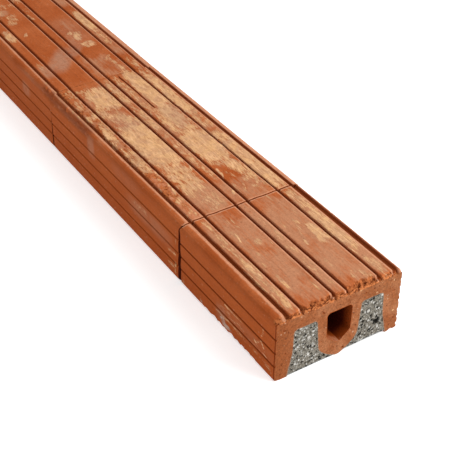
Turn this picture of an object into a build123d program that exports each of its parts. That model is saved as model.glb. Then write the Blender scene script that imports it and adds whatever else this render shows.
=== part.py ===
"""Composite ceramic lintel: fired clay shells laid end to end, their two channels filled with
reinforced concrete. It lies as it is stacked, with the keyed crown up and the channels facing down.

Frame: X runs along the lintel, with the front sawn end at +X, Y across it and Z up.
The origin is at the middle of the underside. All sizes are in millimetres.
"""

import math
import os

from build123d import *

# The whole lintel
lintel_length = 1000.0
section_width = 115.0
section_height = 60.0

# Shells along the length: the saw leaves a short one at each end
shell_pitch = 250.0
front_shell_length = 136.0
joint_gap = 1.0

# How far each shell lies off the middle at its front and at its rear, from the front of the lintel
shell_lay = [(0.0, -0.2), (0.7, -1.0), (0.1, 1.0), (0.4, -0.6), (0.1, -0.2)]

# Keyed crown, from the side of the lintel towards its middle
rim_width = 6.0
rim_drop = 1.0
rim_radius = 4.5
outer_groove_width = 4.8
outer_groove_depth = 3.2
edge_strip_width = 10.1
groove_width = 3.2
groove_depth = 2.6
centre_strip_width = 8.0
groove_draft = 8.0
strip_edge_radius = 0.6

# Comb lines along both sides, counted from the underside
comb_count = 3
comb_pitch = 13.0
lowest_comb_height = 15.0
comb_width = 2.0
comb_depth = 1.0

# Legs and the channels inside them
crown_thickness = 16.9
leg_top_thickness = 16.4
leg_bend_thickness = 15.5
leg_bend_height = 21.0
leg_bend_radius = 60.0
leg_foot_thickness = 11.0
outer_foot_radius = 2.8
channel_radius = 3.2

# Web between the channels, with its keel and its hollow
web_root_width = 41.6
web_keel_width = 36.6
web_keel_height = 11.5
web_keel_radius = 10.0
web_foot_width = 3.0
hollow_roof_width = 23.2
hollow_floor_width = 21.6
hollow_roof_thickness = 15.0
hollow_wall_height = 24.0
hollow_floor_drop = 8.6
hollow_roof_radius = 3.2
hollow_floor_radius = 4.0

# Concrete and its tension wires
left_fill_recess = 0.4
right_fill_recess = 2.0
wire_diameter = 3.0
wire_offset = 27.8
wire_cover = 12.7

half_width = section_width / 2
front_end = lintel_length / 2
rear_end = -lintel_length / 2
channel_top = section_height - crown_thickness


def nearest(profile, points):
    """The corners of a profile that lie at the given points."""
    return [profile.vertices().sort_by_distance((*point, 0))[0] for point in points]


def groove_points(outer_edge, lip_height, width, depth):
    """The corners of a crown groove, from its outer lip over its floor to its inner lip."""
    draft = depth * math.tan(math.radians(groove_draft))
    inner_edge = outer_edge - width
    floor = section_height - depth
    return [
        (outer_edge, lip_height),
        (outer_edge - draft, floor),
        (inner_edge + draft, floor),
        (inner_edge, section_height),
    ]


def comb_points(height):
    """The corners of one comb line, going up the side of the shell."""
    return [
        (half_width, height - comb_width / 2),
        (half_width - comb_depth, height),
        (half_width, height + comb_width / 2),
    ]


def shell_outline():
    """The outline of a shell across the lintel, solid inside, with its crown grooves and comb lines."""
    rim_top = section_height - rim_drop
    rim_edge = half_width - rim_width
    strip_edge = rim_edge - outer_groove_width - edge_strip_width
    centre_edge = centre_strip_width / 2 + groove_width
    grooves = [
        groove_points(rim_edge, rim_top, outer_groove_width, outer_groove_depth),
        groove_points(strip_edge, section_height, groove_width, groove_depth),
        groove_points(centre_edge, section_height, groove_width, groove_depth),
    ]
    foot = (half_width, 0)
    shoulder = (half_width, rim_top)
    combs = [comb_points(lowest_comb_height + step * comb_pitch) for step in range(comb_count)]
    points = [(0, 0), foot, *sum(combs, []), shoulder, *sum(grooves, []), (0, section_height)]
    half = make_face(Polyline(*points, close=True))
    half = fillet(nearest(half, sum(grooves, [])), strip_edge_radius)
    half = fillet(nearest(half, [shoulder]), rim_radius)
    half = fillet(nearest(half, [foot]), outer_foot_radius)
    return half + mirror(half, about=Plane.YZ)


def channel_profile():
    """The channel on the +Y side, between the web and the leg, from the underside to the crown."""
    leg_top = (half_width - leg_top_thickness, channel_top)
    leg_bend = (half_width - leg_bend_thickness, leg_bend_height)
    leg_foot = (half_width - leg_foot_thickness, 0)
    web_root = (web_root_width / 2, channel_top)
    web_keel = (web_keel_width / 2, web_keel_height)
    web_foot = (web_foot_width / 2, 0)
    corners = [web_foot, leg_foot, leg_bend, leg_top, web_root, web_keel]
    channel = make_face(Polyline(*corners, close=True))
    channel = fillet(nearest(channel, [leg_top, web_root]), channel_radius)
    channel = fillet(nearest(channel, [web_keel]), web_keel_radius)
    return fillet(nearest(channel, [leg_bend]), leg_bend_radius)


def hollow_profile():
    """The hollow of the web, with steep walls and a floor that dips to the middle."""
    roof_side = hollow_roof_width / 2
    floor_side = hollow_floor_width / 2
    roof = section_height - hollow_roof_thickness
    shoulder = roof - hollow_wall_height
    roof_corners = [(-roof_side, roof), (roof_side, roof)]
    floor_corners = [(floor_side, shoulder), (0, shoulder - hollow_floor_drop), (-floor_side, shoulder)]
    hollow = make_face(Polyline(*roof_corners, *floor_corners, close=True))
    hollow = fillet(nearest(hollow, roof_corners), hollow_roof_radius)
    return fillet(nearest(hollow, floor_corners), hollow_floor_radius)


def shell_section():
    """The clay of a shell across the lintel."""
    channel = channel_profile()
    return shell_outline() - channel - mirror(channel, about=Plane.YZ) - hollow_profile()


def core_section(recess):
    """The concrete of the +Y channel, which stops short of the underside by the recess."""
    return channel_profile() - Rectangle(2 * section_width, 2 * recess)


def shell_bays():
    """Where each shell lies between the middles of its joints, from the front: rear, front and lay."""
    joints = [front_end]
    joint = front_end - front_shell_length
    while joint > rear_end + joint_gap:
        joints.append(joint)
        joint -= shell_pitch
    joints.append(rear_end)
    bays = []
    for number, (front, rear) in enumerate(zip(joints, joints[1:])):
        front_lay, rear_lay = shell_lay[number % len(shell_lay)]
        bays.append((rear, front, rear_lay, front_lay))
    return bays


def run_along(section, bay, start, end):
    """The section as a solid from start to end, which drifts sideways as the shell of that bay does."""
    rear, front, rear_lay, front_lay = bay
    drift = (front_lay - rear_lay) / (front - rear)
    start_lay = rear_lay + drift * (start - rear)
    across = Plane(origin=(start, start_lay, 0), x_dir=(0, 1, 0), z_dir=(1, 0, 0))
    way = Vector(end - start, drift * (end - start), 0)
    return extrude(across * section, amount=way.length, dir=way.normalized())


def clay_shell(bay):
    """One shell, half a joint short of its neighbours and flush at a sawn end."""
    rear, front = bay[:2]
    start = rear if rear == rear_end else rear + joint_gap / 2
    end = front if front == front_end else front - joint_gap / 2
    return run_along(shell_section(), bay, start, end)


def tension_wire(side):
    """The wire of one channel, on the +Y side for 1 and the -Y side for -1."""
    place = (rear_end, side * wire_offset, channel_top - wire_cover)
    across = Plane(origin=place, x_dir=(0, 1, 0), z_dir=(1, 0, 0))
    return extrude(across * Circle(wire_diameter / 2), amount=lintel_length)


def concrete_core(side, recess):
    """The concrete of one channel, cast against every shell and round the wire."""
    section = core_section(recess)
    if side < 0:
        section = mirror(section, about=Plane.YZ)
    pours = [run_along(section, bay, bay[0], bay[1]) for bay in shell_bays()]
    return pours[0].fuse(*pours[1:]) - tension_wire(side)


def build_parts():
    """Every piece of the lintel, by name."""
    parts = {f"clay_shell_{number}": clay_shell(bay) for number, bay in enumerate(shell_bays(), 1)}
    for hand, side, recess in (("left", -1, left_fill_recess), ("right", 1, right_fill_recess)):
        parts[f"concrete_core_{hand}"] = concrete_core(side, recess)
        parts[f"tension_wire_{hand}"] = tension_wire(side)
    return parts


os.makedirs("parts", exist_ok=True)
for name, solid in build_parts().items():
    export_step(solid, f"parts/{name}.step")
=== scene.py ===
"""Looks of the composite ceramic lintel: worn clay shells, sawn concrete, studio floor, light and camera.

Lengths are in millimetres until a mesh is written, in the frame of the CAD model. X runs along the
lintel to its sawn front end, Y across it and Z up. Marks along the lintel are placed by their distance
from the front end. A level is a place across the lintel, measured from the middle of the shells there.
Shells and joints are numbered from the front: shell 0 is the first, and joint 0 is its sawn end.
"""

import math
import random

import bmesh
import bpy
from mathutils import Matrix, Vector, kdtree, noise
from mathutils.geometry import delaunay_2d_cdt


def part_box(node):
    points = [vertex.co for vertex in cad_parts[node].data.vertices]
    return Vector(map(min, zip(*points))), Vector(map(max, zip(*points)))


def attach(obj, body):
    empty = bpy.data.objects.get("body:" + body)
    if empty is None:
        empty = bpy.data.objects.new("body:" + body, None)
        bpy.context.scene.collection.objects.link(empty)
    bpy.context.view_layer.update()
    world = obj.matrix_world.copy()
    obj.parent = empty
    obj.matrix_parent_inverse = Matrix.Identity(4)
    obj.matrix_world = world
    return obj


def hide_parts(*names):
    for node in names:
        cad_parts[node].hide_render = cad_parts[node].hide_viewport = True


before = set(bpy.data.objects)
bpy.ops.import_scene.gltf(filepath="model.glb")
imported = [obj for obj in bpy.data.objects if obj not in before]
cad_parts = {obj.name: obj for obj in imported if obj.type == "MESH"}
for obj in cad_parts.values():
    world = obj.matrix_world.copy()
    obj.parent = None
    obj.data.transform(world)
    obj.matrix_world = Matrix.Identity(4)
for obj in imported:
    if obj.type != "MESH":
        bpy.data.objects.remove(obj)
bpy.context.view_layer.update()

# Camera, fitted to the joints, grooves and sawn end
CAMERA_PLACE = (0.963075, -0.390599, 0.562215)
CAMERA_TURN = (53.7398, 0.0344, 57.9323)
CAMERA_LENS = 85.325

# The CAD model in millimetres. SIDE_LIMIT, as far out as worn clay may go, lies inside its box
FRONT = 500.0
TOP = 60.0
HALF_WIDTH = 57.5
SIDE_LIMIT = 58.45
CHANNEL_TOP = 43.2
CHANNEL_REACH = 47.6
HOLLOW_REACH = 12.5
HOLLOW_FLOOR = 12.0
HOLLOW_ROOF = 46.0
KEEL_FOOT = (1.5, 0.0)
KEEL_SHOULDER = (17.0, 10.5)
WIRE_PLACE = (27.8, 30.4)
COMB_LINES = (15.0, 28.0, 41.0)
FIRST_JOINT = 136.0
GROOVES = [(49.1, 4.8), (35.0, 3.2), (5.6, 3.2), (-5.6, 3.2), (-35.0, 3.2), (-49.1, 4.8)]

# Where the wear changes: the depth of the crown and of the sides, how far back the saw tore the
# crown, and the level of the line scored along shell 1
CROWN_DEPTH = 5.0
SIDE_DEPTH = 3.0
TEAR_REACH = 6.5
SCORE_LEVEL = 16.0
SCORE_POINTS = [(SCORE_LEVEL + shift, TOP) for shift in (-1.1, -0.7, -0.35, 0.0, 0.35, 0.7, 1.1)]

# How far aside of the CAD model the edges of the grooves were pressed, by shell. From the right, each
# groove has its right edge and then its left one
EDGE_DRIFT = {
    0: (2.1, 2.2, 1.3, 2.1, 0.5, 1.3, 0.4, 1.3, 0.1, 1.0, 1.3, 3.3),
    1: (0.2, 1.3, 0.0, 0.9, 0.0, 0.8, -0.15, 0.75, -0.45, 0.5, -0.3, 1.9),
    2: (-1.2, -0.1, -0.9, -0.1, -1.3, -0.5, -1.3, -0.55, -1.1, -0.35, -0.3, 2.3),
    3: (-0.3, 0.9, -0.7, -0.1, -0.1, 0.5, 0.0, 0.6, -0.6, 0.0, -0.4, 0.8),
    4: (-0.8, 0.4, 0.1, 0.7, 0.0, 0.6, -0.5, 0.1, -0.1, 0.5, -0.2, 1.0),
}

SHELLS = ["clay_shell_1", "clay_shell_2", "clay_shell_3", "clay_shell_4", "clay_shell_5"]
CORES = ["concrete_core_left", "concrete_core_right"]
WIRES = ["tension_wire_left", "tension_wire_right"]


# Reading the CAD model

def flat_end(node, front):
    """The rings of (y, z) points round a node's flat end, the outer one first, in millimetres."""
    lowest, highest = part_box(node)
    plane = highest.x if front else lowest.x
    solid = bmesh.new()
    solid.from_mesh(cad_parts[node].data)
    bmesh.ops.remove_doubles(solid, verts=solid.verts, dist=1e-6)
    # A list, because the order of the faces settles where a ring starts
    end = [face for face in solid.faces if all(abs(v.co.x - plane) < 1e-6 for v in face.verts)]
    beside = {}
    for face in end:
        for edge in face.edges:
            if sum(other in end for other in edge.link_faces) == 1:
                first, second = edge.verts
                beside.setdefault(first, []).append(second)
                beside.setdefault(second, []).append(first)
    rings = []
    while beside:
        vertex = next(iter(beside))
        ring = []
        while vertex in beside:
            ring.append((vertex.co.y * 1000, vertex.co.z * 1000))
            following = [other for other in beside.pop(vertex) if other in beside]
            vertex = following[0] if following else None
        rings.append(ring)
    solid.free()
    rings.sort(key=lambda ring: -abs(area(ring)))
    return [turned(ring, 1 if number == 0 else -1) for number, ring in enumerate(rings)]


def area(ring):
    """The area inside a ring, positive when it runs anticlockwise."""
    return sum(a[0] * b[1] - b[0] * a[1] for a, b in zip(ring, ring[1:] + ring[:1])) / 2


def turned(ring, way):
    """The ring, run anticlockwise for 1 and clockwise for -1."""
    return ring if area(ring) * way > 0 else ring[::-1]


def middle(ring):
    """How far to the side the middle of a ring lies."""
    across = [y for y, z in ring]
    return (min(across) + max(across)) / 2


def lay_line():
    """Where the middle of the shells lies along the lintel, as (x, y) points from the rear."""
    line = []
    for node in SHELLS:
        lowest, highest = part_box(node)
        line.append((lowest.x * 1000, middle(flat_end(node, False)[0])))
        line.append((highest.x * 1000, middle(flat_end(node, True)[0])))
    return sorted(line)


LAY_LINE = lay_line()


def lay(x):
    """How far the shells lie off the middle at x."""
    for (rear, rear_lay), (front, front_lay) in zip(LAY_LINE, LAY_LINE[1:]):
        if x <= front:
            share = max((x - rear) / (front - rear), 0.0)
            return rear_lay + (front_lay - rear_lay) * share
    return LAY_LINE[-1][1]


# Meshes of long pieces

# A ring keeps a bend by more than this angle in radians, and any point further on than this step
SHARP_BEND = 0.5
LEAST_STEP = 0.34


def respaced(ring, spacing, extra=()):
    """The ring with its bends kept and its straight runs divided. spacing(y, z) is the step there."""
    kept = [ring[0]]
    for before, point, after in zip(ring, ring[1:], ring[2:] + ring[:1]):
        into = Vector(point) - Vector(before)
        out = Vector(after) - Vector(point)
        sharp = into.length > 0 and out.length > 0 and into.angle(out) > SHARP_BEND
        if sharp or (Vector(point) - Vector(kept[-1])).length > LEAST_STEP:
            kept.append(point)
    divided = []
    for point, after in zip(kept, kept[1:] + kept[:1]):
        step = spacing((point[0] + after[0]) / 2, (point[1] + after[1]) / 2)
        count = max(round(math.dist(point, after) / step), 1)
        marks = {number / count for number in range(count)}
        for y, z in extra:
            if abs(point[1] - z) < 1e-3 and abs(after[1] - z) < 1e-3 and abs(point[0] - after[0]) > 1e-6:
                share = (y - point[0]) / (after[0] - point[0])
                if 0 < share < 1:
                    marks = {mark for mark in marks if mark == 0 or abs(mark - share) * step * count > 0.3}
                    marks.add(share)
        for mark in sorted(marks):
            divided.append(tuple(a + (b - a) * mark for a, b in zip(point, after)))
    return divided


def stations(rear, front, step, fine_rear, fine_front):
    """Places along X from rear to front: a step apart, and closer near an end that is seen broken."""
    def run(length, fine):
        marks = [0.0]
        while marks[-1] < length:
            marks.append(marks[-1] + min(fine + 0.12 * max(marks[-1] - 5 * fine, 0), step))
        return [mark for mark in marks if mark < length - 0.3 * fine]
    half = (front - rear) / 2
    from_rear = [rear + mark for mark in run(half, fine_rear)]
    from_front = [front - mark for mark in run(half, fine_front)]
    return from_rear + from_front[::-1]


def strewn(rings, spacing, draw):
    """Points spread over the face inside the rings, clear of the rings themselves."""
    edging = []
    for ring in rings:
        for here, there in zip(ring, ring[1:] + ring[:1]):
            parts = max(math.ceil(math.dist(here, there) / (spacing / 2)), 1)
            edging += [Vector((*here, 0)).lerp(Vector((*there, 0)), part / parts) for part in range(parts)]
    tree = kdtree.KDTree(len(edging))
    for number, point in enumerate(edging):
        tree.insert(point, number)
    tree.balance()
    found = []
    z = min(z for y, z in rings[0]) + spacing / 2
    highest = max(z for y, z in rings[0])
    while z < highest:
        crossings = []
        for ring in rings:
            for (y1, z1), (y2, z2) in zip(ring, ring[1:] + ring[:1]):
                if (z1 <= z) != (z2 <= z):
                    crossings.append(y1 + (y2 - y1) * (z - z1) / (z2 - z1))
        crossings.sort()
        for left, right in zip(crossings[::2], crossings[1::2]):
            count = int((right - left) / spacing)
            for step in range(1, count):
                y = left + (right - left) * step / count
                spot = (y + draw.uniform(-0.3, 0.3) * spacing, z + draw.uniform(-0.3, 0.3) * spacing)
                if tree.find((*spot, 0))[2] > 0.45 * spacing:
                    found.append(spot)
        z += spacing
    return found


def inside(rings, spot):
    """Whether a spot lies on the face inside the outer ring and outside the others."""
    y, z = spot
    hits = 0
    for ring in rings:
        for (y1, z1), (y2, z2) in zip(ring, ring[1:] + ring[:1]):
            if (z1 <= z) != (z2 <= z) and y < y1 + (y2 - y1) * (z - z1) / (z2 - z1):
                hits += 1
    return hits % 2 == 1


def face_triangles(rings, spots):
    """Triangles over the face, as numbers of the rings' points in order and then of the spots."""
    points = [Vector(point) for ring in rings for point in ring] + [Vector(spot) for spot in spots]
    edges = []
    base = 0
    for ring in rings:
        edges += [(base + number, base + (number + 1) % len(ring)) for number in range(len(ring))]
        base += len(ring)
    made, _, faces, sources, _, _ = delaunay_2d_cdt(points, edges, [], 1, 1e-5)
    ring_points = base
    triangles = []
    for face in faces:
        names = [sources[number][0] for number in face]
        if all(name < ring_points for name in names):
            centre = sum((points[name] for name in names), Vector((0, 0))) / 3
            if not inside(rings, centre):
                continue
        triangles.append(names)
    return triangles


def long_piece(name, rings, places, shape, end_spacing, draw, paints):
    """A closed piece with the given rings at every place along X.

    shape(point, outward, on_end) gives a point's worn place and its paint values, by name.
    """
    normals = []
    for ring in rings:
        for before, after in zip(ring[-1:] + ring[:-1], ring[1:] + ring[:1]):
            along = Vector(after) - Vector(before)
            normals.append(Vector((0, along.y, -along.x)).normalized())
    flat = [point for ring in rings for point in ring]
    vertices = []
    values = {paint: [] for paint in paints}

    def add(point, outward, on_end):
        point, painted = shape(point, outward, on_end)
        vertices.append(point / 1000)
        for paint in paints:
            values[paint].append(painted.get(paint, 0.0))

    for x in places:
        aside = lay(x)
        for (y, z), outward in zip(flat, normals):
            add(Vector((x, y + aside, z)), outward, 0)
    faces = []
    for station in range(len(places) - 1):
        base = 0
        for ring in rings:
            for number in range(len(ring)):
                here = station * len(flat) + base + number
                beside = station * len(flat) + base + (number + 1) % len(ring)
                faces.append((here, beside, beside + len(flat), here + len(flat)))
            base += len(ring)
    for x, spacing, way, first in (
        (places[0], end_spacing[0], -1, 0),
        (places[-1], end_spacing[1], 1, (len(places) - 1) * len(flat)),
    ):
        spots = strewn(rings, spacing, draw)
        beyond = len(vertices)
        for y, z in spots:
            add(Vector((x, y + lay(x), z)), Vector((way, 0, 0)), way)
        for names in face_triangles(rings, spots):
            numbers = [first + name if name < len(flat) else beyond + name - len(flat) for name in names]
            faces.append(numbers if way > 0 else numbers[::-1])
    mesh = bpy.data.meshes.new(name)
    mesh.from_pydata(vertices, [], faces)
    for paint in paints:
        mesh.attributes.new(paint, "FLOAT", "POINT").data.foreach_set("value", values[paint])
    mesh.shade_smooth()
    mesh.set_sharp_from_angle(angle=math.radians(40))
    piece = bpy.data.objects.new(name, mesh)
    bpy.context.scene.collection.objects.link(piece)
    return piece


# Wear

def rough(point, size, seed=0.0):
    """Smooth unevenness from 0 to 1, with bumps of about the given size."""
    return 0.5 + 0.5 * noise.noise(Vector(point) / size + Vector((seed, seed * 0.37, -seed * 0.71)))


def ragged(point, size, seed=0.0):
    """Unevenness from 0 to 1 with smaller bumps on the larger ones, as on broken clay."""
    total = rough(point, size, seed)
    total += 0.5 * rough(point, size / 2.1, seed)
    total += 0.25 * rough(point, size / 4.3, seed)
    return total / 1.75


def eased(value, low, high):
    """0 below low, 1 above high, and a smooth rise between."""
    share = min(max((value - low) / (high - low), 0.0), 1.0)
    return share * share * (3 - 2 * share)


def patch_cover(patches, along, across):
    """How strongly a spot is covered by patches, each with its middle, half sizes, turn and strength."""
    cover = 0.0
    for mid_along, mid_across, half_length, half_width, turn, strength in patches:
        forward = along - mid_along
        sideways = across - mid_across
        span = half_length + half_width + 4
        if abs(forward) > span or abs(sideways) > span:
            continue
        angle = math.radians(turn)
        u = (forward * math.cos(angle) + sideways * math.sin(angle)) / half_length
        v = (sideways * math.cos(angle) - forward * math.sin(angle)) / half_width
        reach = (u ** 4 + v ** 4) ** 0.25
        cover = max(cover, strength * (1 - eased(reach, 0.55, 1.3)))
    return cover


# Sandy mortar dust on the crown: distance from the front end, place across, half sizes, turn and strength
CROWN_DUST = [
    (15, 41, 14, 4, 0, 0.45), (70, 41, 32, 5, 0, 0.85), (115, 41, 18, 5, 0, 0.6),
    (190, 41, 56, 6, 0, 0.97), (262, 41, 14, 5, 0, 0.6), (330, 41, 58, 5, 0, 0.85),
    (400, 42, 16, 4, 0, 0.35), (515, 42, 27, 5, 0, 0.95), (470, 42, 26, 4, 0, 0.4),
    (72, 28, 15, 4, 6, 0.9), (64, 32, 6, 2, 0, 0.7), (14, 20, 5, 3, 20, 0.6), (10, 28, 6, 3, 0, 0.4),
    (92, 22, 4, 2, 0, 0.5), (35, 13, 9, 1.2, 0, 0.4), (155, 31, 10, 2, -12, 0.5),
    (185, 26, 24, 7, -12, 0.7), (228, 20, 31, 14, 0, 1.0), (280, 20, 32, 13, 0, 0.72),
    (345, 26, 42, 8, 0, 1.15), (345, 11, 38, 4, 0, 0.5), (178, 15, 10, 2, -25, 0.5),
    (160, 9, 9, 1.6, 10, 0.45), (150, 24, 6, 2, -30, 0.5), (168, 23, 7, 2.4, 20, 0.5),
    (462, 22, 7, 7, 0, 0.75), (484, 20, 11, 4, 14, 0.75), (494, 16, 4, 3, 40, 0.5),
    (408, 26, 17, 2, -5, 0.6), (424, 25, 6, 2.5, 25, 0.5), (60, 0, 50, 3.5, 0, 0.3),
    (190, 1, 15, 3, 0, 0.4), (225, 0, 26, 3.5, 0, 0.6), (290, 0, 32, 3.5, 0, 0.6),
    (350, 0, 32, 3.5, 0, 0.65), (34, -29, 10, 1.4, 0, 0.65), (57, -30, 5, 1.2, 0, 0.4),
    (85, -17, 4, 3, 0, 0.5), (75, -26, 6, 1.2, 0, 0.4), (103, -28, 5, 1.6, 0, 0.5),
    (120, -24, 4, 1.2, 0, 0.35), (112, -20, 5, 1.5, 0, 0.35), (152, -19, 14, 9, 0, 0.4),
    (195, -22, 30, 11, 0, 0.78), (255, -20, 44, 14, 0, 1.0), (305, -15, 22, 8, -30, 0.6),
    (320, -28, 20, 6, -20, 0.6), (352, -18, 24, 12, 0, 0.9), (372, -27, 10, 3, -60, 0.5),
    (515, -25, 5, 2, 30, 0.7), (17, -41, 12, 3, 10, 0.6), (35, -41, 8, 3, 0, 0.5),
    (58, -42, 14, 3, 0, 0.6), (80, -41, 12, 3, 0, 0.45), (103, -41, 10, 2.6, 0, 0.5),
    (122, -40, 10, 2, 0, 0.4), (160, -42, 20, 2.4, 0, 0.3), (237, -42, 22, 5, 0, 0.75),
    (290, -42, 25, 5, 12, 0.7), (325, -41, 8, 5, 70, 0.6), (350, -42, 12, 4, 10, 0.5),
    (370, -41, 8, 3, 0, 0.4), (520, -42, 14, 4.5, 0, 0.95), (440, -41, 14, 4, 0, 0.25),
]

# Thin greyish pink film on the crown
CROWN_FILM = [
    (66, 20, 74, 17, 0, 0.72), (66, 0, 74, 6, 0, 0.9), (66, -20, 76, 17, 0, 0.64),
    (66, 42, 74, 7, 0, 0.8), (66, -42, 74, 6, 0, 0.7), (66, 55, 70, 3, 0, 0.35),
    (158, -20, 26, 15, 0, 0.75), (152, 20, 20, 15, 0, 0.62), (158, 0, 26, 5, 0, 0.6),
    (290, 0, 100, 60, 0, 0.5), (482, 12, 16, 6, 20, 0.35), (430, -42, 18, 5, 0, 0.4),
    (470, 41, 60, 6, 0, 0.5), (412, 12, 28, 22, 0, 0.5), (505, 24, 30, 8, 0, 0.3),
]

# Grey smear across the third shell, where wet cement was wiped
CROWN_HAZE = [
    (444, -17, 26, 11, 36, 0.6), (456, 2, 15, 8, 40, 0.45), (474, 14, 14, 7, 35, 0.3),
    (428, -41, 14, 5, 0, 0.4), (500, 20, 34, 14, 0, 0.2), (290, 24, 22, 8, 0, 0.35),
    (300, -20, 14, 10, 0, 0.25),
]

# Pale rubs and splashes on the left side: distance from the front end, height, half sizes, turn, strength
SIDE_DUST = [
    (17, 36, 0.9, 6, 12, 0.6), (15, 23, 5, 0.6, 50, 0.7), (20, 25, 5, 0.6, -40, 0.7),
    (24, 20, 6, 0.6, 30, 0.7), (13, 17, 4, 0.7, 15, 0.6), (31, 17, 6, 0.6, -8, 0.5),
    (58, 25.6, 14, 0.8, 0, 0.8), (60, 12.6, 22, 0.8, 0, 0.75), (60, 20, 18, 3, 0, 0.25),
    (30, 11, 26, 1.2, 0, 0.3), (8, 8, 5, 1.6, 0, 0.35), (143.5, 42, 1.4, 10, 0, 0.3),
    (149, 23.5, 9, 1.8, 0, 0.6), (151, 10.5, 9, 1.6, 0, 0.55), (143.5, 12, 1.6, 8, 0, 0.45),
    (205, 34, 16, 4, 0, 0.2), (105, 5, 1.6, 4, 0, 0.4), (130, 4, 3, 3, 0, 0.35),
]
SIDE_HAZE = [
    (298, 48, 7, 12, 0, 0.5), (340, 56, 40, 3.5, 0, 0.4), (232, 50, 26, 8, 0, 0.15),
    (400, 56, 60, 3, 0, 0.3), (190, 31, 38, 8, 0, 0.34), (447, 37, 9, 7, 0, 0.5),
    (40, 20, 40, 6, 0, 0.16), (74, 14, 7, 8, 0, 0.42),
]

# Whitish run of cement on the left side, down at the foot
SIDE_LIME = [
    (71, 8, 3.4, 5.0, -35, 0.66), (66, 5.5, 7, 2.4, 0, 0.72), (74, 12, 1.6, 2.2, 0, 0.4),
    (104, 5, 1.2, 2.6, 0, 0.4),
]

# Pale chips in the sawn clay face: place across, height, half sizes, turn and strength
END_CHIPS = [
    (18, 55, 1.4, 0.9, 20, 0.95), (35, 45.5, 1.1, 0.6, -20, 0.8), (50, 51, 0.9, 0.7, 0, 0.7),
    (52, 20, 0.7, 0.6, 0, 0.8), (-28, 48, 0.5, 0.5, 0, 0.7), (11.5, 19, 0.7, 0.6, 0, 0.7),
    (40, 53, 2.4, 0.5, -12, 0.4), (-30, 56, 0.8, 0.5, 0, 0.6),
]


def random_patches(draw, count, along, across, lengths, widths, turn, strengths):
    """Patches within the given ranges, lying up to turn degrees off the length of the lintel."""
    made = []
    for _ in range(count):
        made.append((
            draw.uniform(*along), draw.uniform(*across), draw.uniform(*lengths), draw.uniform(*widths),
            draw.uniform(-turn, turn), draw.uniform(*strengths),
        ))
    return made


# Short pale strokes and flecks rubbed onto the crown; the last row are pale flecks along the ragged lip of
# the broken left rim, painted highlights
rubbed = random.Random(5)
for count, along, across, turn, lengths, widths in (
    (44, (142, 384), (-47, -37), 25, (1.2, 5.0), (0.5, 1.3)),
    (34, (150, 384), (-33, 33), 45, (3.0, 9.0), (0.6, 1.2)),
    (14, (4, 132), (-47, -37), 8, (4.0, 12.0), (0.5, 1.1)),
    (10, (4, 132), (37, 47), 8, (4.0, 12.0), (0.5, 1.2)),
    (16, (4, 132), (-33, 33), 14, (2.0, 7.0), (0.4, 0.9)),
    (18, (296, 425), (-52.2, -50.4), 20, (1.0, 4.0), (0.4, 0.8)),
):
    CROWN_DUST += random_patches(rubbed, count, along, across, lengths, widths, turn, (0.45, 0.9))


def unseen_patches(draw, count, start, across, widest, strongest):
    """Patches from start to the rear end, of the same kind as those that the photo shows."""
    strengths = (0.3 * strongest, strongest)
    return random_patches(draw, count, (start, 2 * FRONT), across, (6, 40), (0.8, widest), 15, strengths)


unseen = random.Random(7)
CROWN_DUST += unseen_patches(unseen, 46, 545, (-52, 52), 9, 0.8)
CROWN_FILM += unseen_patches(unseen, 14, 545, (-50, 50), 12, 0.7)
SIDE_DUST += unseen_patches(unseen, 14, 520, (4, 56), 2.0, 0.5)
RIGHT_DUST = unseen_patches(unseen, 34, 0, (4, 56), 2.0, 0.55)
RIGHT_HAZE = unseen_patches(unseen, 12, 0, (4, 56), 8, 0.5)


def bites_along(draw, y_from, y_to, pitch, radius, back):
    """Bites of torn clay in a row along the sawn crown edge, so far back from it."""
    made = []
    y = y_from
    while y < y_to:
        size = radius * draw.uniform(0.65, 1.3)
        x = FRONT - back - draw.uniform(-0.9, 0.7)
        made.append((Vector((x, y + draw.uniform(-0.7, 0.7), TOP + draw.uniform(0.15, 0.7))), size))
        y += pitch * draw.uniform(0.7, 1.4)
    return made


tearing = random.Random(11)
FRONT_BITES = [
    *bites_along(tearing, -46, -37, 5.0, 1.5, 0.6),
    *bites_along(tearing, -33, -8, 5.0, 2.6, 1.8),
    *bites_along(tearing, 8, 33, 4.4, 2.6, 1.8),
    *bites_along(tearing, 37, 46, 5.0, 1.6, 0.6),
]


def torn_away(level, from_front):
    """How far the crown has sunk at a spot where the saw tore its front edge away."""
    if from_front > TEAR_REACH:
        return 0.0
    wide = 1.0 if 6 < abs(level) < 34 else 0.45
    reach = 0.8 + (1.0 + 4.6 * eased(ragged((level, 0, 3.0), 5.5, 11.0), 0.36, 0.62)) * wide
    reach += 1.8 * (ragged((level, from_front, 0), 2.2, 13.0) - 0.5)
    corner_reach = 5.0 + 2.0 * ragged((level, 0, 0), 4.0, 15.0)
    corner = 2.3 * eased(-level, 46, 49) * (1 - eased(from_front, 0.4, corner_reach))
    if from_front >= reach or corner > 0.3:
        return corner
    uneven = eased(ragged((level, from_front, 0), 2.6, 12.0), 0.3, 0.66)
    depth = 0.8 + 2.9 * uneven * (0.5 + 0.5 * wide)
    return depth * (1 - eased(from_front / reach, 0.62, 1.0))


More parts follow.
